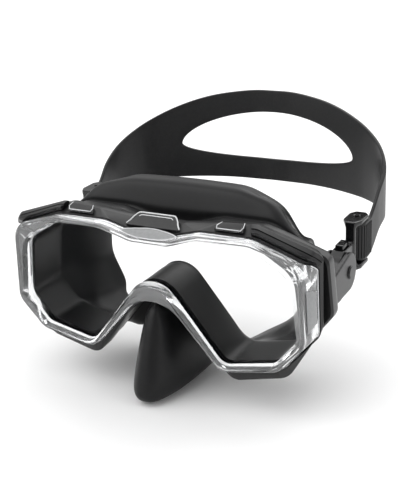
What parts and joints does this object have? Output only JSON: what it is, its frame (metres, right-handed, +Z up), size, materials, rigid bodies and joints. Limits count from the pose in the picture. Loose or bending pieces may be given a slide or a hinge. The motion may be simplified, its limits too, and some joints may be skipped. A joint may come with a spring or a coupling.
{
  "type": "diving mask",
  "caption": "Diving mask with one wide flat window in a clear bezel, a black silicone skirt with a nose pocket, swivelling buckles and a split head strap.",
  "frame": {"origin": "the middle of the plane where the skirt meets the face, level with the peak of the window's nose arch", "axes": "+Z up, -Y out through the lens, +X the wearer's left"},
  "size_m": [0.1612, 0.1565, 0.115],
  "materials": {
    "clear_plastic": "clear, polished",
    "tempered_glass": "clear, flat",
    "black_plastic": "satin black",
    "gloss_black": "glossy black",
    "black_silicone": "satin black silicone",
    "strap_silicone": "satin black silicone",
    "stainless_steel": "stainless"
  },
  "bodies": {
    "mask": {"front_bezel": "clear_plastic", "brow_tab": "clear_plastic", "glass_lens": "tempered_glass", "main_frame": "black_plastic", "left_corner_cover": "gloss_black", "right_corner_cover": "gloss_black", "left_brow_latch": "gloss_black", "right_brow_latch": "gloss_black", "rear_frame": "black_plastic", "skirt": "black_silicone", "left_ear": "black_plastic", "right_ear": "black_plastic", "left_swivel_pin": "stainless_steel", "right_swivel_pin": "stainless_steel"},
    "strap": {"strap": "strap_silicone"},
    "left_buckle": {"left_buckle_body": "gloss_black", "left_roller_pin": "stainless_steel", "left_button_spring": "stainless_steel"},
    "left_roller_tube": {"left_roller": "black_plastic"},
    "left_button": {"left_release_button": "black_plastic"},
    "right_buckle": {"right_buckle_body": "gloss_black", "right_roller_pin": "stainless_steel", "right_button_spring": "stainless_steel"},
    "right_roller_tube": {"right_roller": "black_plastic"},
    "right_button": {"right_release_button": "black_plastic"}
  },
  "joints": [
    {"name": "strap_swing", "type": "hinge", "parent": "mask", "child": "strap", "pos_m": [0, -0.004, -0.002], "axis": [1, 0, 0], "range_deg": [-35, 35]},
    {"name": "left_buckle_swing", "type": "hinge", "parent": "mask", "child": "left_buckle", "pos_m": [0.0715, -0.004, -0.002], "axis": [1, 0, 0], "range_deg": [-35, 35]},
    {"name": "left_roller_spin", "type": "hinge", "parent": "left_buckle", "child": "left_roller_tube", "pos_m": [0.0731, 0.0176, 0.006], "axis": [0, 0, 1], "continuous": true},
    {"name": "left_button_press", "type": "slide", "parent": "left_buckle", "child": "left_button", "axis": [0, 0, -1], "range_m": [0, 0.0015], "stiffness_N_per_m": 600, "deforming": ["left_button_spring"]},
    {"name": "right_buckle_swing", "type": "hinge", "parent": "mask", "child": "right_buckle", "pos_m": [-0.0715, -0.004, -0.002], "axis": [1, 0, 0], "range_deg": [-35, 35]},
    {"name": "right_roller_spin", "type": "hinge", "parent": "right_buckle", "child": "right_roller_tube", "pos_m": [-0.0731, 0.0176, 0.006], "axis": [0, 0, 1], "continuous": true},
    {"name": "right_button_press", "type": "slide", "parent": "right_buckle", "child": "right_button", "axis": [0, 0, -1], "range_m": [0, 0.0015], "stiffness_N_per_m": 600, "deforming": ["right_button_spring"]}
  ],
  "couplings": [
    {"joint": "left_buckle_swing", "follows": "strap_swing", "ratio": 1},
    {"joint": "right_buckle_swing", "follows": "strap_swing", "ratio": 1}
  ]
}
